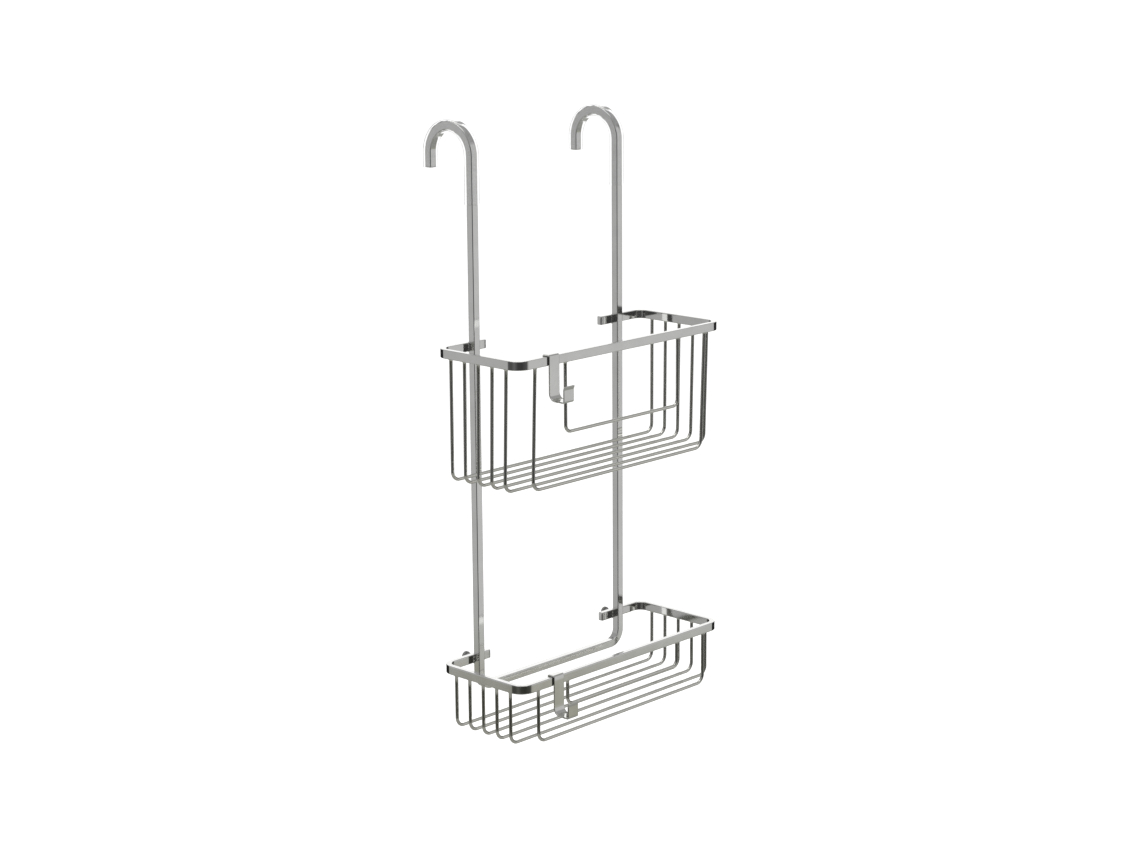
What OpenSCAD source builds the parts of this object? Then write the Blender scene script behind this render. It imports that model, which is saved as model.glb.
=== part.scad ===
// Two-basket shower caddy that hangs over the top edge of a shower screen or door.
// The frame is one bent square bar. Each basket is a flat-bar rim with bent wires below it.
// Origin: midway between the two top hooks, on the axis of their bends.
// +X is to the right, +Z is up, and the baskets reach out towards -Y.

/* [Frame] */
// Distance between the centre-lines of the two legs
leg_spacing = 210; // [180:1:240]
// Side of the square bar
rod_side = 8; // [6:0.5:9]
// Radius on the edges of the square bar
rod_edge = 0.8; // [0.4:0.1:1.5]
// Radius of each top hook, to the bar's centre-line
hook_radius = 29; // [24:0.5:36]
// Straight end of each hook beyond its bend
hook_tip = 14.5; // [8:0.5:30]
// Radius of the two bottom bends, to the bar's centre-line
frame_bend = 14; // [10:1:24]
// Drop from the hook axis to the centre of the bottom crossbar
crossbar_drop = 541.5; // [535:0.5:560]

/* [Hook sleeves] */
// Outer side of the soft sleeve on each hook
sleeve_side = 12; // [10:0.5:14]
// Radius on the edges of the sleeve
sleeve_edge = 2.5; // [1:0.1:3]
// Drop from the hook axis to the lower end of the sleeve
sleeve_drop = 47; // [20:1:80]

/* [Basket rims] */
// Outer width of both baskets
basket_w = 302; // [280:1:330]
// Distance from the legs' centre-line to the front face of the rims
basket_reach = 106; // [95:1:120]
// Height of the rim bar
rim_h = 9; // [6:0.5:10]
// Thickness of the rim bar
rim_t = 6; // [4:0.5:8]
// Radius on the edges of the rim bar
rim_edge = 0.7; // [0.3:0.1:1.5]
// Radius of the rim's corners, to the bar's centre-line
rim_bend = 12; // [8:1:20]
// Length of each rim end that runs inwards behind a leg, past the leg's centre-line
rim_return = 20; // [10:1:40]
// Drop from the hook axis to the centre of the upper rim
upper_drop = 188.5; // [150:0.5:220]
// Drop from the hook axis to the centre of the lower rim
lower_drop = 512; // [480:1:520]

/* [Basket wires] */
// Diameter of the basket wires
wire_d = 3.5; // [2.5:0.1:4]
// Distance from the legs' centre-line to the first wire
wire_first = 11; // [10:0.5:14]
// Spacing of the wires under the side bars
wire_pitch = 19; // [16:0.5:20]
// Bottom bend of the wires, to the wire's centre-line
wire_bend = 9; // [6:0.5:12]
// Bottom bend of the guard wires, to the wire's centre-line
guard_bend = 7; // [5:0.5:12]
// Inset of the front wire's ends from the sides of the rim
front_wire_inset = 26; // [20:0.5:40]
// Inset of the guard wire's ends from the sides of the rim
guard_inset = 68; // [50:1:90]
// Depth of the upper wires below the centre of the rim
upper_depth = 126.5; // [100:0.5:140]
// Depth of the lower wires below the centre of the rim
lower_depth = 58.5; // [50:0.5:80]
// Depth of the upper guard wire
upper_guard = 74.5; // [40:0.5:90]
// Depth of the lower guard wire
lower_guard = 30; // [20:1:45]
// How far forward the upper wires reach at the bottom, as a share of their place at the top
upper_taper = 0.96; // [0.9:0.01:1]

/* [Sliding hooks] */
// Width of the strip that each sliding hook is bent from
strip_w = 14; // [10:1:20]
// Thickness of the strip
strip_t = 1.5; // [1:0.1:2]
// Clearance between the strip and the rim
strip_gap = 0.3; // [0.2:0.1:0.5]
// Drop from the centre of the upper rim to the underside of its hook
upper_hook_drop = 39; // [30:0.5:50]
// Drop from the centre of the lower rim to the underside of its hook
lower_hook_drop = 35; // [30:0.5:50]
// Distance from the hanging part of the strip to the lip, centre to centre
hook_reach = 19; // [14:0.5:26]
// Bend from the hanging part into the hook's floor, to the strip's centre
floor_bend = 7; // [4:0.5:8]
// Tight bend at the foot of the lip, to the strip's centre
lip_bend = 1.5; // [1.2:0.1:3]
// Height of the upright part of the lip, above its bend
lip_h = 12; // [6:0.5:18]
// Length of the turned-out edge on top of the lip
lip_flare = 3; // [2:0.5:6]
// Where the upper sliding hook stands on its rim, from the middle
upper_hook_x = -103; // [-110:1:-95]
// Where the lower sliding hook stands on its rim, from the middle
lower_hook_x = -100; // [-110:1:-95]

/* [Wall bumpers] */
// Distance from the legs' centre-line to the rear face of the bumper pads
bumper_reach = 21; // [18:0.5:26]
// Diameter of the bumper pads
pad_d = 10; // [10:1:16]
// Thickness of the bumper pads
pad_t = 3.5; // [3:0.5:4]
// Diameter of the spacer between the rim and the pad
spacer_d = 8; // [7:0.5:9.5]
// How far the bumpers sit below the centre of the rim
bumper_sink = 1; // [0:0.5:2]

/* [Hidden] */
// Round parts get this many facets where OpenSCAD draws them
$fn = 64;
leg_x = leg_spacing / 2;
leg_y = -hook_radius;
// Centre-line half width of the rims, and the centre-lines of their front and back bars
rim_x = basket_w / 2 - rim_t / 2;
rim_front_y = leg_y - basket_reach + rim_t / 2;
rim_back_y = leg_y + rod_side / 2 + rim_t / 2;
// Side wires in each basket, before the front wire
side_wires = 5;
// Length of the spacer, the shank of its stud, and how deep the pad's blind hole takes it
spacer_l = bumper_reach - rod_side / 2 - rim_t - pad_t;
stud_d = 5;
stud_l = 2;
// Radius on the rear edge of the pad
pad_edge = 1;
// Angle of the turned-out edge of the hook's lip, and the height of its rear tab
flare_angle = 20;
tab_h = 6;
// A block larger than the object, for trimming
trim = 400;

// A rectangle with round corners, centred
module rounded_bar(across, along, edge) {
    square([across - 2 * edge, along], center = true);
    square([across, along - 2 * edge], center = true);
    for (sx = [-1, 1], sy = [-1, 1])
        translate([sx * (across / 2 - edge), sy * (along / 2 - edge)])
            circle(r = edge);
}

// One hook, from its tip over the bend and down the leg for a given length
module hook_sweep(side, edge, down) {
    translate([0, hook_radius, -hook_tip])
        linear_extrude(hook_tip) rounded_bar(side, side, edge);
    rotate([90, 0, 90])
        rotate_extrude(angle = 180) translate([hook_radius, 0]) rounded_bar(side, side, edge);
    translate([0, leg_y, -down])
        linear_extrude(down) rounded_bar(side, side, edge);
}

module frame() {
    color("silver") {
        for (sx = [-1, 1]) {
            translate([sx * leg_x, 0, 0])
                hook_sweep(rod_side, rod_edge, crossbar_drop - frame_bend);
            translate([sx * (leg_x - frame_bend), leg_y, frame_bend - crossbar_drop])
                rotate([90, 0, 0])
                    rotate([0, 0, sx > 0 ? -90 : 180])
                        rotate_extrude(angle = 90)
                            translate([frame_bend, 0]) rounded_bar(rod_side, rod_side, rod_edge);
        }
        translate([frame_bend - leg_x, leg_y, -crossbar_drop])
            rotate([90, 0, 90])
                linear_extrude(leg_spacing - 2 * frame_bend)
                    rounded_bar(rod_side, rod_side, rod_edge);
    }
}

// The clear sleeve that the square bar is pushed into
module hook_sleeve(sx) {
    color("whitesmoke", 0.4)
        translate([sx * leg_x, 0, 0])
            difference() {
                hook_sweep(sleeve_side, sleeve_edge, sleeve_drop);
                hook_sweep(rod_side, rod_edge, sleeve_drop);
            }
}

// A straight stretch of rim bar along +X, starting at the origin
module rim_straight(length) {
    rotate([90, 0, 90]) linear_extrude(length) rounded_bar(rim_t, rim_h, rim_edge);
}

// One corner of the rim: a quarter turn that starts at the given angle
module rim_corner(x, y, from) {
    translate([x, y, 0])
        rotate([0, 0, from])
            rotate_extrude(angle = 90)
                translate([rim_bend, 0]) rounded_bar(rim_t, rim_h, rim_edge);
}

// A rim runs along the front and both sides, then turns inwards behind the legs
module rim(drop) {
    corner_x = rim_x - rim_bend;
    color("silver")
        translate([0, 0, -drop]) {
            translate([-corner_x, rim_front_y, 0]) rim_straight(2 * corner_x);
            for (sx = [-1, 1]) {
                rim_corner(sx * corner_x, rim_front_y + rim_bend, sx > 0 ? -90 : 180);
                translate([sx * rim_x, rim_front_y + rim_bend, 0])
                    rotate([0, 0, 90]) rim_straight(rim_back_y - rim_front_y - 2 * rim_bend);
                rim_corner(sx * corner_x, rim_back_y - rim_bend, sx > 0 ? 0 : 90);
                translate([sx > 0 ? leg_x - rim_return : -corner_x, rim_back_y, 0])
                    rim_straight(corner_x - leg_x + rim_return);
            }
        }
}

// One half of a U: from the middle of the bottom, round the bend and up to the rim
module half_u(side_x, depth, bend) {
    translate([side_x, 0, bend - depth])
        cylinder(d = wire_d, h = depth - bend + wire_d);
    translate([side_x - bend, 0, bend - depth])
        rotate([90, 0, 0])
            rotate([0, 0, -90])
                rotate_extrude(angle = 90) translate([bend, 0]) circle(d = wire_d);
    translate([0, 0, -depth])
        rotate([0, 90, 0]) cylinder(d = wire_d, h = side_x - bend);
}

// A wire bent to a U below a rim, its two ends welded to the underside of the bar
module bent_wire(drop, side_x, top_y, bottom_y, depth, bend) {
    slant = atan2(bottom_y - top_y, depth);
    color("silver")
        difference() {
            translate([0, top_y, -drop])
                rotate([slant, 0, 0]) {
                    half_u(side_x, depth / cos(slant), bend);
                    mirror([1, 0, 0]) half_u(side_x, depth / cos(slant), bend);
                }
            translate([-trim / 2, top_y - trim / 2, -drop - rim_h / 2]) cube(trim);
        }
}

// Wires 1 to 5 hang under the side bars and wire 6 under the front bar
module basket_wire(i, drop, depth, taper) {
    side_x = i <= side_wires ? rim_x : basket_w / 2 - front_wire_inset;
    reach = i <= side_wires ? wire_first + (i - 1) * wire_pitch : basket_reach - rim_t / 2;
    bent_wire(drop, side_x, leg_y - reach, leg_y - reach * taper, depth, wire_bend);
}

module upper_wire(i) {
    basket_wire(i, upper_drop, upper_depth, upper_taper);
}

module lower_wire(i) {
    basket_wire(i, lower_drop, lower_depth, 1);
}

// The shallow wire that closes the front of a basket
module guard_wire(drop, depth) {
    guard_x = basket_w / 2 - guard_inset;
    bent_wire(drop, guard_x, rim_front_y, rim_front_y, depth, guard_bend);
}

// A quarter turn of the strip round a centre, starting at the given angle
module strip_bend(y, z, radius, from) {
    translate([y, z, 0])
        rotate([0, 0, from])
            rotate_extrude(angle = 90)
                translate([radius - strip_t / 2, 0]) square([strip_t, strip_w]);
}

// A bent strip that sits over the front bar of a rim and slides along it
module sliding_hook(drop, hook_x, hook_drop) {
    front_y = rim_front_y - rim_t / 2 - strip_gap - strip_t / 2;
    back_y = rim_front_y + rim_t / 2 + strip_gap;
    top_z = rim_h / 2 + strip_gap;
    floor_z = strip_t / 2 - hook_drop;
    hang_z = floor_z + floor_bend;
    lip_y = front_y - hook_reach;
    lip_z = floor_z + lip_bend;
    color("silver")
        translate([hook_x - strip_w / 2, 0, -drop])
            rotate([90, 0, 90]) {
                linear_extrude(strip_w) {
                    translate([front_y - strip_t / 2, hang_z])
                        square([strip_t, top_z - hang_z]);
                    translate([front_y + strip_t / 2, top_z])
                        square([back_y - front_y - strip_t / 2, strip_t]);
                    translate([back_y, top_z - tab_h])
                        square([strip_t, tab_h]);
                    translate([lip_y + lip_bend, floor_z - strip_t / 2])
                        square([hook_reach - floor_bend - lip_bend, strip_t]);
                    translate([lip_y - strip_t / 2, lip_z])
                        square([strip_t, lip_h]);
                    translate([lip_y + strip_t / 2, lip_z + lip_h])
                        rotate(flare_angle)
                            translate([-strip_t, 0]) square([strip_t, lip_flare]);
                }
                strip_bend(front_y + strip_t / 2, top_z, strip_t / 2, 90);
                strip_bend(back_y, top_z, strip_t / 2, 0);
                strip_bend(front_y - floor_bend, hang_z, floor_bend, -90);
                strip_bend(lip_y + lip_bend, lip_z, lip_bend, 180);
            }
}

// Centre of a bumper on the rear face of the lower rim's return
module at_bumper(sx) {
    translate([sx * leg_x, rim_back_y + rim_t / 2, -lower_drop - bumper_sink])
        rotate([-90, 0, 0])
            children();
}

module bumper_spacer(sx) {
    color("gainsboro", 0.6)
        at_bumper(sx) {
            cylinder(d = spacer_d, h = spacer_l);
            cylinder(d = stud_d, h = spacer_l + stud_l);
        }
}

module bumper_pad(sx) {
    color("darkgray")
        at_bumper(sx)
            translate([0, 0, spacer_l])
                difference() {
                    union() {
                        cylinder(d = pad_d, h = pad_t - pad_edge);
                        translate([0, 0, pad_t - pad_edge])
                            rotate_extrude()
                                translate([pad_d / 2 - pad_edge, 0])
                                    intersection() {
                                        circle(r = pad_edge);
                                        square(pad_edge);
                                    }
                        cylinder(d = pad_d - 2 * pad_edge, h = pad_t);
                    }
                    cylinder(d = stud_d, h = stud_l);
                }
}

frame();
hook_sleeve(-1);  // hook_sleeve_left
hook_sleeve(1);  // hook_sleeve_right
rim(upper_drop);  // upper_rim
upper_wire(1);  // upper_wire_1
upper_wire(2);  // upper_wire_2
upper_wire(3);  // upper_wire_3
upper_wire(4);  // upper_wire_4
upper_wire(5);  // upper_wire_5
upper_wire(6);  // upper_wire_6
guard_wire(upper_drop, upper_guard);  // upper_guard_wire
sliding_hook(upper_drop, upper_hook_x, upper_hook_drop);  // upper_sliding_hook
rim(lower_drop);  // lower_rim
lower_wire(1);  // lower_wire_1
lower_wire(2);  // lower_wire_2
lower_wire(3);  // lower_wire_3
lower_wire(4);  // lower_wire_4
lower_wire(5);  // lower_wire_5
lower_wire(6);  // lower_wire_6
guard_wire(lower_drop, lower_guard);  // lower_guard_wire
sliding_hook(lower_drop, lower_hook_x, lower_hook_drop);  // lower_sliding_hook
bumper_spacer(-1);  // bumper_spacer_left
bumper_spacer(1);  // bumper_spacer_right
bumper_pad(-1);  // bumper_pad_left
bumper_pad(1);  // bumper_pad_right
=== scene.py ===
"""Looks of the two-basket shower caddy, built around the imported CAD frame. Metres throughout."""

import math
from collections import namedtuple

import bpy
from mathutils import Matrix, Vector


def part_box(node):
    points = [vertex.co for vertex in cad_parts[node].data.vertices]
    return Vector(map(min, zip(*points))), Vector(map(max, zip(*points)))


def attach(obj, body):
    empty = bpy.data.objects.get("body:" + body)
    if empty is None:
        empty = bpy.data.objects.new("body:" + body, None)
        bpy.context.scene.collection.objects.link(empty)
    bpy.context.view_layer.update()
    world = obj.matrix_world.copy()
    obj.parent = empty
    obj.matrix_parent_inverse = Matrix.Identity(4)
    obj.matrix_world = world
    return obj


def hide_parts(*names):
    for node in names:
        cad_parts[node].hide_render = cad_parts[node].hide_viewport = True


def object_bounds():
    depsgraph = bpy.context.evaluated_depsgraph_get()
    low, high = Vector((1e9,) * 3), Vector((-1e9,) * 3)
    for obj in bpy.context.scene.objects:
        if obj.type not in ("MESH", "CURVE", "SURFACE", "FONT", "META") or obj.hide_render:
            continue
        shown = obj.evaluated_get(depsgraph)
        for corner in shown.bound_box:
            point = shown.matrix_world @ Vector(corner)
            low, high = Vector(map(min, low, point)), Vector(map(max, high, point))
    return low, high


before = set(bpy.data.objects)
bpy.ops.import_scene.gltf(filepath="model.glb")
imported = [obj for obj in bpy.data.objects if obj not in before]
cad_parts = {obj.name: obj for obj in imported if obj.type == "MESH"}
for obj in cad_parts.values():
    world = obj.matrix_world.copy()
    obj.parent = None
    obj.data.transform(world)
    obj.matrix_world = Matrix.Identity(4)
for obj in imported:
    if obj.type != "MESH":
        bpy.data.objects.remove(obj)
cad_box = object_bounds()
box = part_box

MM = 0.001
X, Y, Z = Vector((1, 0, 0)), Vector((0, 1, 0)), Vector((0, 0, 1))

# ---------------------------------------------------------------- sizes and places

ROD, ROD_EDGE, ROD_BEND = 8 * MM, 0.6 * MM, 14 * MM  # the square bar
HOOK_TIP = 14.5 * MM  # straight end of each top hook
SLEEVE, SLEEVE_WALL = 12 * MM, 1 * MM
SLEEVE_EDGE, BORE_EDGE = 2.6 * MM, 2 * MM
SLEEVE_FLARE = [1.0, 1.004, 1.012, 1.025, 1.04, 1.05]  # the sleeve's growth over its last part
SLEEVE_FLARE_L = 6 * MM

RIM_T, RIM_H, RIM_EDGE, RIM_BEND = 6 * MM, 9 * MM, 0.7 * MM, 12 * MM
RIM_END = 20 * MM  # how far each end of a rim runs in past the leg's middle

WIRE_R, WIRE_BEND, GUARD_BEND = 1.75 * MM, 9 * MM, 7 * MM
WIRES, WIRE_FIRST, WIRE_GAP = 6, 11 * MM, 19 * MM  # first wire from the legs, then spacing
WIRE_SINK, WIRE_TIP_EDGE = 0.4 * MM, 0.1 * MM
WIRE_AIM = 4 * MM  # the wires' slant is measured from this height above their seats
COLLAR = [1.56, 1.50, 1.30, 1.12, 1.03, 1.0]  # weld metal: the wire's growth under the rim
COLLAR_L = 1.8 * MM

BEAD_R, BEAD_TURN, BEAD_INSET, BEAD_TIP_EDGE = 0.85 * MM, 0.8 * MM, 0.1 * MM, 0.02 * MM

STRIP_W, STRIP_T, STRIP_EDGE = 14 * MM, 1.5 * MM, 0.35 * MM  # the sliding hooks
STRIP_GAP, TAB_H = 0.3 * MM, 6 * MM
FOLD_BEND, FLOOR_BEND, LIP_BEND, FLARE_BEND = 1.3 * MM, 7 * MM, 1.5 * MM, 4 * MM
HOOK_REACH, LIP_H, FLARE_L, FLARE_DEGREES = 19 * MM, 10.6 * MM, 2.4 * MM, 24

GROOVE = 0.25 * MM  # small steps and eased edges of the bumpers
PAD_ROUND = 1 * MM

frame_lo, frame_hi = box("frame")
LEG_X = frame_hi.x - ROD / 2
HOOK_R = frame_hi.z - ROD / 2
LEG_Y = -HOOK_R
CROSSBAR_Z = frame_lo.z + ROD / 2


# ---------------------------------------------------------------- outlines of the bars


def rounded_rect(width, height, edge, steps=5):
    """An outline maker for a bar with round edges; inset shrinks it for rounded-over ends.
    A support point just outside each round edge keeps the flats flat in reflections."""
    least, support = 0.3, 0.6  # as shares of the edge radius

    def outline(inset=0.0, grow=1.0):
        w = width * grow / 2 - inset
        h = height * grow / 2 - inset
        e = max(edge - inset, edge * least)
        points = []
        for quarter, (sx, sy) in enumerate([(1, 1), (-1, 1), (-1, -1), (1, -1)]):
            centre = Vector((sx * (w - e), sy * (h - e)))
            turns = [math.pi / 2 * (quarter + i / steps) for i in range(steps + 1)]
            radii = [Vector((math.cos(t), math.sin(t))) for t in turns]
            arc = [centre + r * e for r in radii]
            before = arc[0] - radii[-1] * (e * support)
            after = arc[-1] - radii[0] * (e * support)
            points += [before, *arc, after]
        return points

    return outline


def circle(radius, sides=24):
    """An outline maker for a round wire."""
    turns = [2 * math.pi * i / sides for i in range(sides)]

    def outline(inset=0.0, grow=1.0):
        r = radius * grow - inset
        return [Vector((r * math.cos(t), r * math.sin(t))) for t in turns]

    return outline


# ---------------------------------------------------------------- bent bars

Station = namedtuple("Station", "centre across up grow along")


class Walk:
    """The centre-line of a bent bar, walked in straight runs and arcs. Each station has a
    centre, the two axes of the section, how much the section grows, and the length so far."""

    def __init__(self, start, heading, up):
        self.p = Vector(start)
        self.d = Vector(heading).normalized()
        self.u = Vector(up).normalized()
        self.stations = []
        self.length = 0.0
        self.mark()

    def mark(self, grow=1.0):
        across = self.d.cross(self.u)
        self.stations.append(Station(self.p.copy(), across, self.u.copy(), grow, self.length))

    def line(self, length, steps=1, grows=None):
        for i in range(steps):
            self.p += self.d * (length / steps)
            self.length += length / steps
            self.mark(grows[i] if grows else 1.0)
        return self

    def arc(self, radius, degrees, towards, steps):
        towards = Vector(towards).normalized()
        centre = self.p + towards * radius
        axis = self.d.cross(towards)
        turn = Matrix.Rotation(math.radians(degrees) / steps, 3, axis)
        for _ in range(steps):
            self.p = centre + turn @ (self.p - centre)
            self.d = turn @ self.d
            self.u = turn @ self.u
            self.length += radius * math.radians(degrees) / steps
            self.mark()
        return self

    def regrow(self, grows):
        """Gives the stations new growths, from the first one on."""
        for i, grow in enumerate(grows):
            self.stations[i] = self.stations[i]._replace(grow=grow)


def place_ring(centre, station, points):
    return [centre + station.across * q.x + station.up * q.y for q in points]


def rounded_end(station, outward, outline, edge, steps=3):
    """The rings that round a bar's end over, from its full section to its end face."""
    rings = []
    for k in range(steps + 1):
        turn = math.pi / 2 * k / steps
        inset = edge * (1 - math.cos(turn))
        centre = station.centre + outward * (edge * (math.sin(turn) - 1))
        rings.append(place_ring(centre, station, outline(inset, station.grow)))
    return rings


def perimeter(points):
    """The length round the outline up to each point, and last the whole way round."""
    total, out = 0.0, [0.0]
    for a, b in zip(points, points[1:] + points[:1]):
        total += (b - a).length
        out.append(total)
    return out


def skin(walk, outline, edge=0.3 * MM, inward=False, capped=True):
    """Vertices, faces and UVs of an outline swept along a walk. Its ends are rounded over
    by edge and closed, unless capped is False."""
    rings = [place_ring(s.centre, s, outline(grow=s.grow)) for s in walk.stations]
    lengths = [s.along for s in walk.stations]
    if capped:
        first, last = walk.stations[0], walk.stations[-1]
        start = rounded_end(first, first.across.cross(first.up), outline, edge)[::-1]
        finish = rounded_end(last, -last.across.cross(last.up), outline, edge)
        rings = start + rings[1:-1] + finish
        lengths = [first.along] * len(start) + lengths[1:-1] + [last.along] * len(finish)
    n = len(rings[0])
    around = perimeter(outline())
    verts = [v for ring in rings for v in ring]
    faces, uvs = [], []
    for i in range(len(rings) - 1):
        here, there = lengths[i], lengths[i + 1]
        for j in range(n):
            k = (j + 1) % n
            quad = [i * n + j, i * n + k, (i + 1) * n + k, (i + 1) * n + j]
            uv = [(here, around[j]), (here, around[j + 1]), (there, around[j + 1]), (there, around[j])]
            faces.append(quad[::-1] if inward else quad)
            uvs.append(uv[::-1] if inward else uv)
    if capped:
        flat = outline()
        top = (len(rings) - 1) * n
        for loop in (list(range(n))[::-1], [top + j for j in range(n)]):
            faces.append(loop)
            uvs.append([tuple(flat[v % n]) for v in loop])
    return verts, faces, uvs


# ---------------------------------------------------------------- objects


def make_object(name, verts, faces, uvs, material, sharp=40):
    """A smooth-shaded mesh with one UV pair for each corner of each face."""
    mesh = bpy.data.meshes.new(name)
    mesh.from_pydata([tuple(v) for v in verts], [], faces)
    layer = mesh.uv_layers.new(name="UVMap")
    for poly in mesh.polygons:
        for loop, uv in zip(poly.loop_indices, uvs[poly.index]):
            layer.data[loop].uv = uv
    mesh.validate()
    mesh.shade_smooth()
    mesh.set_sharp_from_angle(angle=math.radians(sharp))
    mesh.materials.append(material)
    obj = bpy.data.objects.new(name, mesh)
    bpy.context.scene.collection.objects.link(obj)
    return obj


def bar(name, walk, outline, material, edge=0.3 * MM):
    """A solid bar whose UVs are metres along and round it."""
    return make_object(name, *skin(walk, outline, edge), material)


def tube(name, walk, outer, inner, material):
    """A hollow sleeve: an outer skin, an inner skin, and a flat ring at each end."""
    v1, f1, u1 = skin(walk, outer, capped=False)
    v2, f2, u2 = skin(walk, inner, inward=True, capped=False)
    n, shift = len(outer()), len(v1)
    faces = f1 + [[shift + v for v in f] for f in f2]
    uvs = u1 + u2
    last = len(v1) - n
    for j in range(n):
        k = (j + 1) % n
        faces.append([j, shift + j, shift + k, k])
        faces.append([last + k, shift + last + k, shift + last + j, last + j])
        uvs += [[(0, 0), (0, MM), (MM, MM), (MM, 0)]] * 2
    return make_object(name, v1 + v2, faces, uvs, material, sharp=50)


def lathe(name, centre, axis, profile, material, sides=48):
    """A turned piece: profile is (radius, distance along the axis) from one end to the other."""
    a = axis.orthogonal().normalized()
    b = axis.cross(a)
    verts, faces, uvs = [], [], []
    for r, h in profile:
        for j in range(sides):
            t = 2 * math.pi * j / sides
            verts.append(centre + axis * h + (a * math.cos(t) + b * math.sin(t)) * r)
    for i in range(len(profile) - 1):
        for j in range(sides):
            k = (j + 1) % sides
            faces.append([i * sides + j, i * sides + k, (i + 1) * sides + k, (i + 1) * sides + j])
            uvs.append([(j / sides, i), (k / sides, i), (k / sides, i + 1), (j / sides, i + 1)])
    last = (len(profile) - 1) * sides
    for loop in (list(range(sides))[::-1], [last + j for j in range(sides)]):
        faces.append(loop)
        uvs.append([(0.5, 0.5)] * sides)
    return make_object(name, verts, faces, uvs, material, sharp=35)


def settle(obj, body, slot, *nodes):
    """Hands a finished piece to its body, in place of the CAD nodes it stands for. The slot is not
    used.
    """
    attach(obj, body)
    if nodes:
        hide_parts(*nodes)


# ---------------------------------------------------------------- shader nodes


def new_material(name):
    mat = bpy.data.materials.new(name)
    mat.use_nodes = True
    tree = mat.node_tree
    return mat, tree, tree.nodes["Principled BSDF"]


def add(tree, kind, **settings):
    """A new node; each setting is the value of an input or, failing that, a property."""
    node = tree.nodes.new(kind)
    for key, value in settings.items():
        if key in node.inputs:
            node.inputs[key].default_value = value
        else:
            setattr(node, key, value)
    return node


def streaks(tree, along, across):
    """Noise drawn out along the bar, from the UVs in metres."""
    coords = add(tree, "ShaderNodeTexCoord")
    scale = add(tree, "ShaderNodeMapping")
    scale.inputs["Scale"].default_value = (along, across, 1)
    noise = add(tree, "ShaderNodeTexNoise", Scale=1.0, Detail=3.0, Roughness=0.6)
    tree.links.new(coords.outputs["UV"], scale.inputs["Vector"])
    tree.links.new(scale.outputs["Vector"], noise.inputs["Vector"])
    return noise.outputs["Fac"]


def blotches(tree, scale, detail=4.0):
    """Noise in the object's own space, where scale is cells per metre."""
    coords = add(tree, "ShaderNodeTexCoord")
    noise = add(tree, "ShaderNodeTexNoise", Scale=scale, Detail=detail, Roughness=0.55)
    tree.links.new(coords.outputs["Object"], noise.inputs["Vector"])
    return noise.outputs["Fac"]


def spread(tree, source, low, high, lo_in=0.3, hi_in=0.7):
    """Maps lo_in to hi_in, most of the range of a noise, onto low to high."""
    node = add(tree, "ShaderNodeMapRange")
    for key, value in zip(("From Min", "From Max", "To Min", "To Max"), (lo_in, hi_in, low, high)):
        node.inputs[key].default_value = value
    tree.links.new(source, node.inputs["Value"])
    return node.outputs["Result"]


def ramp(tree, source, stops):
    node = add(tree, "ShaderNodeValToRGB")
    elements = node.color_ramp.elements
    while len(elements) < len(stops):
        elements.new(0.5)
    for element, (at, colour) in zip(elements, stops):
        element.position = at
        element.color = (*colour, 1)
    tree.links.new(source, node.inputs["Fac"])
    return node.outputs["Color"]


def bump(tree, shader, heights, distance, strength):
    node = add(tree, "ShaderNodeBump", Strength=strength, Distance=distance)
    tree.links.new(heights, node.inputs["Height"])
    tree.links.new(node.outputs["Normal"], shader.inputs["Normal"])


def mixed(tree, a, b, share):
    node = add(tree, "ShaderNodeMix", data_type="FLOAT")
    node.inputs[0].default_value = share
    tree.links.new(a, node.inputs[2])
    tree.links.new(b, node.inputs[3])
    return node.outputs[0]


# ---------------------------------------------------------------- materials


def chrome(name, tone, along, across, wave, relief):
    """Polished chrome plate: a faint draw grain along the bar, soft waviness of the
    polished steel below, and a thin uneven haze that dulls the shine here and there."""
    mat, tree, shader = new_material(name)
    shader.inputs["Metallic"].default_value = 1.0
    grain = streaks(tree, along, across)
    haze = blotches(tree, 55)
    lumps = blotches(tree, wave, 2.0)
    dull = tuple(c * 0.95 for c in tone)
    bright = tuple(min(c * 1.03, 1) for c in tone)
    tint = ramp(tree, haze, [(0.3, dull), (0.7, bright)])
    tree.links.new(tint, shader.inputs["Base Color"])
    rough = mixed(tree, spread(tree, grain, 0.03, 0.10), spread(tree, haze, 0.03, 0.12), 0.5)
    tree.links.new(rough, shader.inputs["Roughness"])
    bump(tree, shader, mixed(tree, grain, lumps, 0.55), 0.04 * MM, relief)
    return mat


def clear_vinyl(name):
    """Soft clear tube: slightly milky, with faint extrusion lines and small ripples. It
    bends light less than real vinyl does, because the sleeves hardly show on the hooks."""
    mat, tree, shader = new_material(name)
    lines = streaks(tree, 6, 1500)
    ripples = blotches(tree, 220, 3.0)
    tint = ramp(tree, ripples, [(0.3, (0.96, 0.965, 0.965)), (0.7, (0.99, 0.99, 0.99))])
    tree.links.new(tint, shader.inputs["Base Color"])
    tree.links.new(spread(tree, ripples, 0.0, 0.04), shader.inputs["Roughness"])
    shader.inputs["Transmission Weight"].default_value = 1.0
    shader.inputs["IOR"].default_value = 1.10
    bump(tree, shader, mixed(tree, lines, ripples, 0.6), 0.02 * MM, 0.3)
    return mat


def clear_plastic(name):
    """Frosted clear moulding of the spacers."""
    mat, tree, shader = new_material(name)
    fine = blotches(tree, 900, 3.0)
    tint = ramp(tree, fine, [(0.3, (0.82, 0.83, 0.83)), (0.7, (0.90, 0.91, 0.91))])
    tree.links.new(tint, shader.inputs["Base Color"])
    tree.links.new(spread(tree, fine, 0.18, 0.34), shader.inputs["Roughness"])
    shader.inputs["Transmission Weight"].default_value = 0.7
    shader.inputs["IOR"].default_value = 1.45
    bump(tree, shader, fine, 0.03 * MM, 0.5)
    return mat


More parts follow.
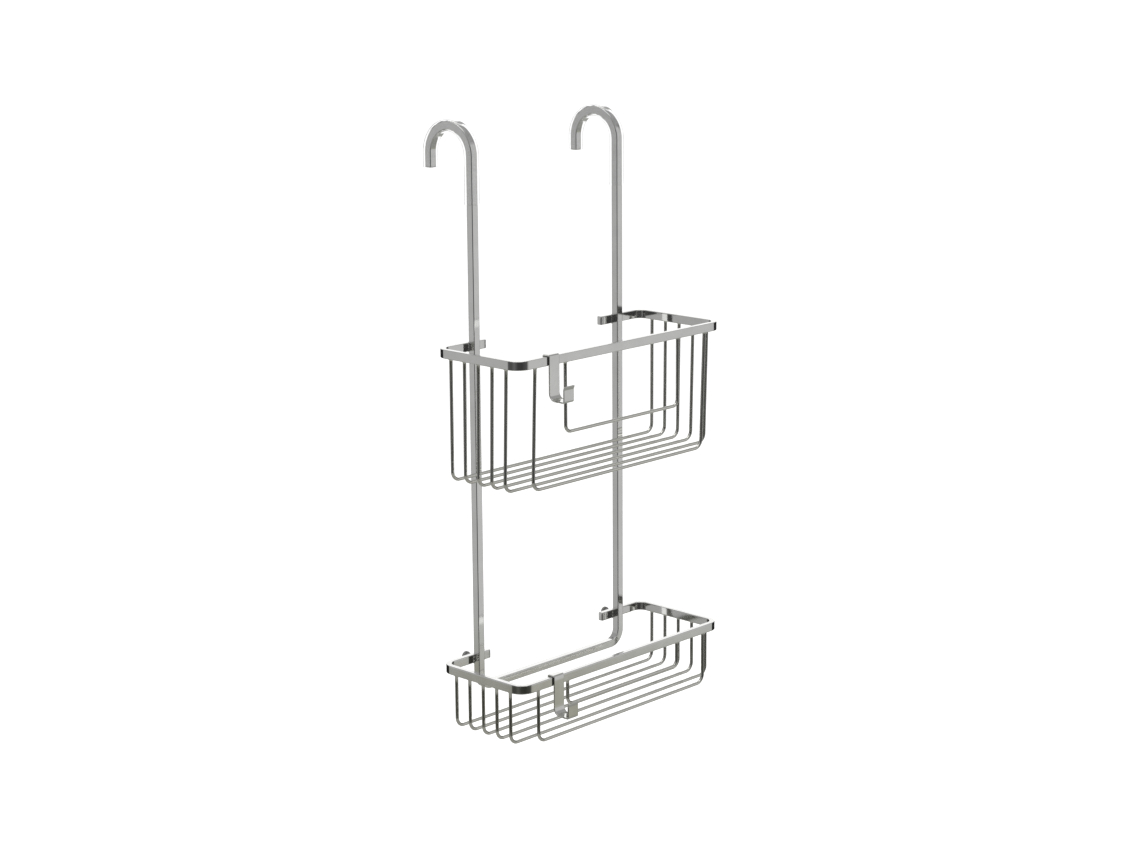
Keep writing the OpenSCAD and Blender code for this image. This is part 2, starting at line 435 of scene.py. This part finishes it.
def rubber(name):
    """Soft grey rubber with a fine moulded grain and paler scuffs."""
    mat, tree, shader = new_material(name)
    grain = blotches(tree, 2600)
    scuffs = blotches(tree, 260, 5.0)
    tint = ramp(
        tree,
        mixed(tree, grain, scuffs, 0.6),
        [(0.35, (0.30, 0.30, 0.30)), (0.55, (0.38, 0.38, 0.375)), (0.75, (0.47, 0.47, 0.465))],
    )
    tree.links.new(tint, shader.inputs["Base Color"])
    tree.links.new(spread(tree, scuffs, 0.50, 0.72), shader.inputs["Roughness"])
    bump(tree, shader, grain, 0.12 * MM, 0.7)
    return mat


CHROME_BAR = chrome("chrome_bar", (0.80, 0.80, 0.79), 14, 2600, 90, 0.50)
CHROME_RIM = chrome("chrome_rim", (0.79, 0.79, 0.78), 16, 2400, 110, 0.50)
CHROME_WIRE = chrome("chrome_wire", (0.78, 0.775, 0.735), 20, 1400, 160, 0.22)
CHROME_STRIP = chrome("chrome_strip", (0.79, 0.79, 0.77), 18, 1800, 120, 0.45)
VINYL = clear_vinyl("clear_sleeve")
SPACER = clear_plastic("clear_spacer")
RUBBER = rubber("grey_rubber")


# ---------------------------------------------------------------- frame and sleeves


def build_frame():
    leg = -CROSSBAR_Z - ROD_BEND
    crossbar = 2 * (LEG_X - ROD_BEND)
    walk = Walk((-LEG_X, HOOK_R, -HOOK_TIP), Z, X)
    walk.line(HOOK_TIP, 2).arc(HOOK_R, 180, -Y, 56).line(leg, 24)
    walk.arc(ROD_BEND, 90, X, 20).line(crossbar, 10).arc(ROD_BEND, 90, Z, 20)
    walk.line(leg, 24).arc(HOOK_R, 180, Y, 56).line(HOOK_TIP, 2)
    obj = bar("caddy_frame_bar", walk, rounded_rect(ROD, ROD, ROD_EDGE), CHROME_BAR)
    settle(obj, "caddy", "chrome_bar", "frame")


def build_sleeve(side, sx):
    node = f"hook_sleeve_{side}"
    lo, _ = box(node)
    bore = SLEEVE - 2 * SLEEVE_WALL
    walk = Walk((sx * LEG_X, HOOK_R, -HOOK_TIP), Z, X)
    walk.line(HOOK_TIP, 6).arc(HOOK_R, 180, -Y, 64).line(-lo.z - SLEEVE_FLARE_L, 10)
    walk.line(SLEEVE_FLARE_L, len(SLEEVE_FLARE), SLEEVE_FLARE)
    outer = rounded_rect(SLEEVE, SLEEVE, SLEEVE_EDGE, 8)
    inner = rounded_rect(bore, bore, BORE_EDGE, 8)
    settle(tube(f"sleeve_{side}", walk, outer, inner, VINYL), "caddy", "clear_sleeve", node)


# ---------------------------------------------------------------- baskets


def build_rim(which):
    """A flat bar bent to a C. Its ends turn in behind the legs, with a gap between them."""
    lo, hi = box(f"{which}_rim")
    mid_z = (lo.z + hi.z) / 2
    front, back = lo.y + RIM_T / 2, hi.y - RIM_T / 2
    corner_x = hi.x - RIM_T / 2 - RIM_BEND
    end_x = LEG_X - RIM_END
    side = back - front - 2 * RIM_BEND
    walk = Walk((-end_x, back, mid_z), -X, Z)
    walk.line(corner_x - end_x, 8).arc(RIM_BEND, 90, -Y, 18).line(side, 8)
    walk.arc(RIM_BEND, 90, X, 18).line(2 * corner_x, 16).arc(RIM_BEND, 90, Y, 18)
    walk.line(side, 8).arc(RIM_BEND, 90, -X, 18).line(corner_x - end_x, 8)
    obj = bar(f"{which}_rim_bar", walk, rounded_rect(RIM_T, RIM_H, RIM_EDGE), CHROME_RIM)
    settle(obj, "caddy", "chrome_rim", f"{which}_rim")


def build_u(node, bend, top_y, bottom_y):
    """A U-shaped wire, slanting from top_y to bottom_y, with weld metal at both of its ends."""
    lo, hi = box(node)
    side_x, bottom_z = hi.x - WIRE_R, lo.z + WIRE_R
    aim_z = hi.z + WIRE_AIM
    down = Vector((0, bottom_y - top_y, bottom_z - aim_z)).normalized()
    start = Vector((-side_x, top_y, aim_z)) + down * ((WIRE_AIM - WIRE_SINK) / -down.z)
    run = (start.z - bottom_z) / -down.z - bend
    walk = Walk(start, down, X)
    walk.regrow(COLLAR[:1])
    walk.line(COLLAR_L, len(COLLAR), COLLAR).line(run - COLLAR_L, 6)
    walk.arc(bend, 90, X, 14).line(2 * (side_x - bend), 12).arc(bend, 90, -down, 14)
    walk.line(run - COLLAR_L, 6).line(COLLAR_L, len(COLLAR), COLLAR[::-1])
    obj = bar(f"{node}_bar", walk, circle(WIRE_R), CHROME_WIRE, WIRE_TIP_EDGE)
    settle(obj, "caddy", "chrome_wire", node)


def build_wires(which, taper):
    """The wires under the side bars, the one under the front bar, and the guard. Taper is
    the depth of the basket's floor as a share of the depth of its rim."""
    rim_lo, _ = box(f"{which}_rim")
    front = rim_lo.y + RIM_T / 2
    reaches = [WIRE_FIRST + WIRE_GAP * i for i in range(WIRES - 1)] + [LEG_Y - front]
    for number, reach in enumerate(reaches, 1):
        build_u(f"{which}_wire_{number}", WIRE_BEND, LEG_Y - reach, LEG_Y - reach * taper)
    build_u(f"{which}_guard_wire", GUARD_BEND, front, front)


def build_welds(which):
    """The smooth beads round the seats where the rim's ends are welded to the legs."""
    lo, hi = box(f"{which}_rim")
    mid_z, seat_y = (lo.z + hi.z) / 2, hi.y - RIM_T
    w, h = ROD / 2 - BEAD_INSET, RIM_H / 2 - BEAD_INSET
    for side, sx in (("left", -1), ("right", 1)):
        walk = Walk((sx * LEG_X - w + BEAD_TURN, seat_y, mid_z + h), X, Y)
        for run, towards in ((w, -Z), (h, -X), (w, Z), (h, X)):
            walk.line(2 * (run - BEAD_TURN), 8).arc(BEAD_TURN, 90, towards, 6)
        places = range(len(walk.stations) - 1)
        wobble = [1 + 0.10 * math.sin(k * 1.7) + 0.06 * math.sin(k * 3.1 + 1) for k in places]
        walk.regrow(wobble + wobble[:1])
        obj = bar(f"{which}_weld_{side}", walk, circle(BEAD_R, 14), CHROME_BAR, BEAD_TIP_EDGE)
        settle(obj, "caddy", "chrome_bar")


# ---------------------------------------------------------------- sliding hooks


def build_sliding_hook(which):
    """A bent strip: a tab behind the front bar, a fold over it, then a J with a flared lip."""
    node = f"{which}_sliding_hook"
    lo, hi = box(node)
    rim_lo, _ = box(f"{which}_rim")
    half = STRIP_T / 2
    mid_x = (lo.x + hi.x) / 2
    top_z, floor_z = hi.z - half, lo.z + half
    front_y, back_y = rim_lo.y - STRIP_GAP - half, hi.y - half
    walk = Walk((mid_x, back_y, hi.z - STRIP_T - TAB_H), Z, X)
    walk.line(TAB_H + half - FOLD_BEND, 3).arc(FOLD_BEND, 90, -Y, 10)
    walk.line(back_y - front_y - 2 * FOLD_BEND, 3).arc(FOLD_BEND, 90, -Z, 10)
    walk.line(top_z - FOLD_BEND - floor_z - FLOOR_BEND, 8).arc(FLOOR_BEND, 90, -Y, 24)
    walk.line(HOOK_REACH - FLOOR_BEND - LIP_BEND, 4).arc(LIP_BEND, 90, Z, 10)
    walk.line(LIP_H, 5).arc(FLARE_BEND, FLARE_DEGREES, -Y, 8).line(FLARE_L, 2)
    section = rounded_rect(STRIP_T, STRIP_W, STRIP_EDGE)
    obj = bar(f"{which}_strip_hook", walk, section, CHROME_STRIP)
    settle(obj, f"{which}_hook", "chrome_strip", node)


# ---------------------------------------------------------------- bumpers


def build_spacer(side):
    """A waisted clear drum between the rim and the pad."""
    node = f"bumper_spacer_{side}"
    lo, hi = box(node)
    pad_lo, pad_hi = box(f"bumper_pad_{side}")
    r, reach = (hi.x - lo.x) / 2, pad_lo.y - lo.y
    waist = r * 0.93
    profile = [
        (r * 0.97, 0.0), (r, GROOVE), (r, reach * 0.3), (waist, reach * 0.36),
        (waist, reach * 0.62), (r, reach * 0.68), (r, reach - GROOVE), (r * 0.96, reach),
    ]
    mid = (pad_lo + pad_hi) / 2
    obj = lathe(f"spacer_{side}", Vector((mid.x, lo.y, mid.z)), Y, profile, SPACER)
    settle(obj, "caddy", "clear_spacer", node)


def build_pad(side):
    """A rubber pad with a groove round its side, a round outer edge, and a ring groove and a
    dimple in the face that rests on the screen."""
    node = f"bumper_pad_{side}"
    lo, hi = box(node)
    mid = (lo + hi) / 2
    r, thick = (hi.x - lo.x) / 2, hi.y - lo.y
    waist, steps = r * 0.975, 6
    profile = [(r * 0.80, 0.0), (r * 0.97, 0.15 * MM), (r, 0.45 * MM), (r, thick * 0.42)]
    profile += [(waist, thick * 0.47), (waist, thick * 0.53), (r, thick * 0.58)]
    for k in range(steps + 1):
        t = math.pi / 2 * k / steps
        across = r - PAD_ROUND + PAD_ROUND * math.cos(t)
        profile.append((across, thick - PAD_ROUND + PAD_ROUND * math.sin(t)))
    profile += [
        (r * 0.70, thick), (r * 0.66, thick - GROOVE), (r * 0.58, thick - GROOVE),
        (r * 0.54, thick), (r * 0.34, thick), (r * 0.30, thick - GROOVE),
        (r * 0.05, thick - GROOVE),
    ]
    obj = lathe(f"pad_{side}", Vector((mid.x, lo.y, mid.z)), Y, profile, RUBBER)
    settle(obj, "caddy", "grey_rubber", node)


build_frame()
build_rim("upper")
build_rim("lower")
build_wires("upper", 0.96)
build_wires("lower", 1.0)
for basket in ("upper", "lower"):
    build_welds(basket)
    build_sliding_hook(basket)
for side, sign in (("left", -1), ("right", 1)):
    build_sleeve(side, sign)
    build_spacer(side)
    build_pad(side)


# ---------------------------------------------------------------- stage, light and camera

scene = bpy.context.scene
scene.view_settings.view_transform = "Standard"
scene.view_settings.look = "None"

HEADING, PITCH, ROLL = math.radians(43.46), math.radians(12.73), math.radians(-0.40)
CAMERA_AT, LENS = (-1.7477, -1.7153, 0.2606), 76.33
AWAY = Vector((math.cos(HEADING), math.sin(HEADING), 0))
SIDEWAYS = Vector((math.sin(HEADING), -math.cos(HEADING), 0))


def build_floor(half=60.0, below=0.25):
    mat, tree, shader = new_material("pale_floor")
    soft = blotches(tree, 1.5, 2.0)
    tint = ramp(tree, soft, [(0.3, (0.90, 0.90, 0.90)), (0.7, (0.93, 0.93, 0.93))])
    tree.links.new(tint, shader.inputs["Base Color"])
    shader.inputs["Roughness"].default_value = 0.9
    shader.inputs["Emission Color"].default_value = (1, 1, 1, 1)
    shader.inputs["Emission Strength"].default_value = 0.75
    z = cad_box[0].z - below
    corners = [(-half, -half, z), (half, -half, z), (half, half, z), (-half, half, z)]
    mesh = bpy.data.meshes.new("floor")
    mesh.from_pydata(corners, [], [(0, 1, 2, 3)])
    mesh.materials.append(mat)
    floor = bpy.data.objects.new("floor", mesh)
    scene.collection.objects.link(floor)
    # The chrome, seen bare or through the clear sleeves, reflects the studio below instead
    floor.visible_glossy = False
    floor.visible_transmission = False


def by_degrees(stops):
    """Ramp stops from pairs of an azimuth in degrees, -180 to 180, and a grey level."""
    return [((a + 180) / 360, (v, v, v)) for a, v in stops]


def by_height(stops):
    """Ramp stops from pairs of a direction's Z, -1 to 1, and a grey level or a colour."""
    return [((z + 1) / 2, v if isinstance(v, tuple) else (v, v, v)) for z, v in stops]


def directions(tree):
    """The azimuth and the height of a direction, both as shares from 0 to 1. Azimuth 0
    degrees is away from the camera and 90 to the right."""
    coords = add(tree, "ShaderNodeTexCoord").outputs["Generated"]
    azimuth = add(tree, "ShaderNodeMath", operation="ARCTAN2")
    for socket, direction in zip(azimuth.inputs, (SIDEWAYS, AWAY)):
        node = add(tree, "ShaderNodeVectorMath", operation="DOT_PRODUCT")
        node.inputs[1].default_value = direction
        tree.links.new(coords, node.inputs[0])
        tree.links.new(node.outputs["Value"], socket)
    parts = add(tree, "ShaderNodeSeparateXYZ")
    tree.links.new(coords, parts.inputs["Vector"])
    turn = spread(tree, azimuth.outputs[0], 0, 1, -math.pi, math.pi)
    return turn, spread(tree, parts.outputs["Z"], 0, 1, -1, 1)


def blend(tree, share, a, b, kind="MIX"):
    """Two colours mixed or multiplied; share is a socket or a number."""
    node = add(tree, "ShaderNodeMix", data_type="RGBA", blend_type=kind)
    for index, value in ((0, share), (6, a), (7, b)):
        if isinstance(value, bpy.types.NodeSocket):
            tree.links.new(value, node.inputs[index])
        else:
            node.inputs[index].default_value = value
    return node.outputs[2]


def build_world():
    """The studio that the chrome reflects: a white sweep behind the object, black beside it,
    grey flats at both sides, the dark room behind the camera, and plain grey far above and
    below. Past the floor, the camera itself sees plain white."""
    world = bpy.data.worlds.new("studio")
    scene.world = world
    world.use_nodes = True
    tree = world.node_tree
    tree.nodes.clear()
    turn, height = directions(tree)

    room = ramp(tree, turn, by_degrees([
        (-180, 0.055), (-154, 0.14), (-132, 0.08), (-106, 0.09), (-98, 0.42), (-90, 0.49),
        (-79, 0.46), (-76, 0.02), (76, 0.02), (79, 0.57), (90, 0.60), (98, 0.42),
        (108, 0.10), (150, 0.045), (180, 0.055),
    ]))
    dim = ramp(tree, height, by_height([(-0.325, (0.66, 0.66, 0.56)), (-0.295, 1)]))
    ends = ramp(tree, height, by_height([(-0.38, (0.33, 0.33, 0.31)), (0.45, 0.37)]))
    past = ramp(tree, height, by_height([(-0.42, 1), (-0.35, 0), (0.38, 0), (0.50, 1)]))
    sweep_wide = ramp(tree, turn, by_degrees([(-30, 0), (-26, 1), (26, 1), (30, 0)]))
    sweep_high = ramp(tree, height, by_height([(-0.60, 0), (-0.52, 1), (0.46, 1), (0.54, 0)]))
    sweep = add(tree, "ShaderNodeMath", operation="MULTIPLY")
    tree.links.new(sweep_wide, sweep.inputs[0])
    tree.links.new(sweep_high, sweep.inputs[1])
    walls = blend(tree, past, blend(tree, 1.0, room, dim, "MULTIPLY"), ends)
    studio = blend(tree, sweep.outputs[0], walls, (1.15, 1.15, 1.15, 1))

    reflected = add(tree, "ShaderNodeBackground", Strength=1.0)
    tree.links.new(studio, reflected.inputs["Color"])
    plain = add(tree, "ShaderNodeBackground", Color=(1, 1, 1, 1), Strength=1.05)
    rays = add(tree, "ShaderNodeLightPath")
    pick = add(tree, "ShaderNodeMixShader")
    out = add(tree, "ShaderNodeOutputWorld")
    tree.links.new(rays.outputs["Is Camera Ray"], pick.inputs[0])
    tree.links.new(reflected.outputs[0], pick.inputs[1])
    tree.links.new(plain.outputs[0], pick.inputs[2])
    tree.links.new(pick.outputs[0], out.inputs["Surface"])


def softbox(name, position, target, size, power):
    light = bpy.data.lights.new(name, "AREA")
    light.shape = "SQUARE"
    light.size = size
    light.energy = power
    obj = bpy.data.objects.new(name, light)
    obj.location = position
    aim = Vector(target) - Vector(position)
    obj.rotation_euler = aim.to_track_quat("-Z", "Y").to_euler()
    scene.collection.objects.link(obj)


def build_camera():
    """The main view: from the front left, a little above the hooks."""
    ahead = AWAY * math.cos(PITCH) - Z * math.sin(PITCH)
    level_up = SIDEWAYS.cross(ahead)
    right = SIDEWAYS * math.cos(ROLL) + level_up * math.sin(ROLL)
    up = level_up * math.cos(ROLL) - SIDEWAYS * math.sin(ROLL)
    data = bpy.data.cameras.new("camera")
    data.sensor_width = 36.0
    data.lens = LENS
    data.clip_start, data.clip_end = 0.05, 200
    camera = bpy.data.objects.new("camera", data)
    turn = Matrix((right, up, -ahead)).transposed()
    camera.matrix_world = Matrix.Translation(CAMERA_AT) @ turn.to_4x4()
    scene.collection.objects.link(camera)
    scene.camera = camera


build_floor()
build_world()
softbox("overhead", (0.3, 0.2, 2.6), (0, -0.05, -0.3), 2.4, 28)
build_camera()
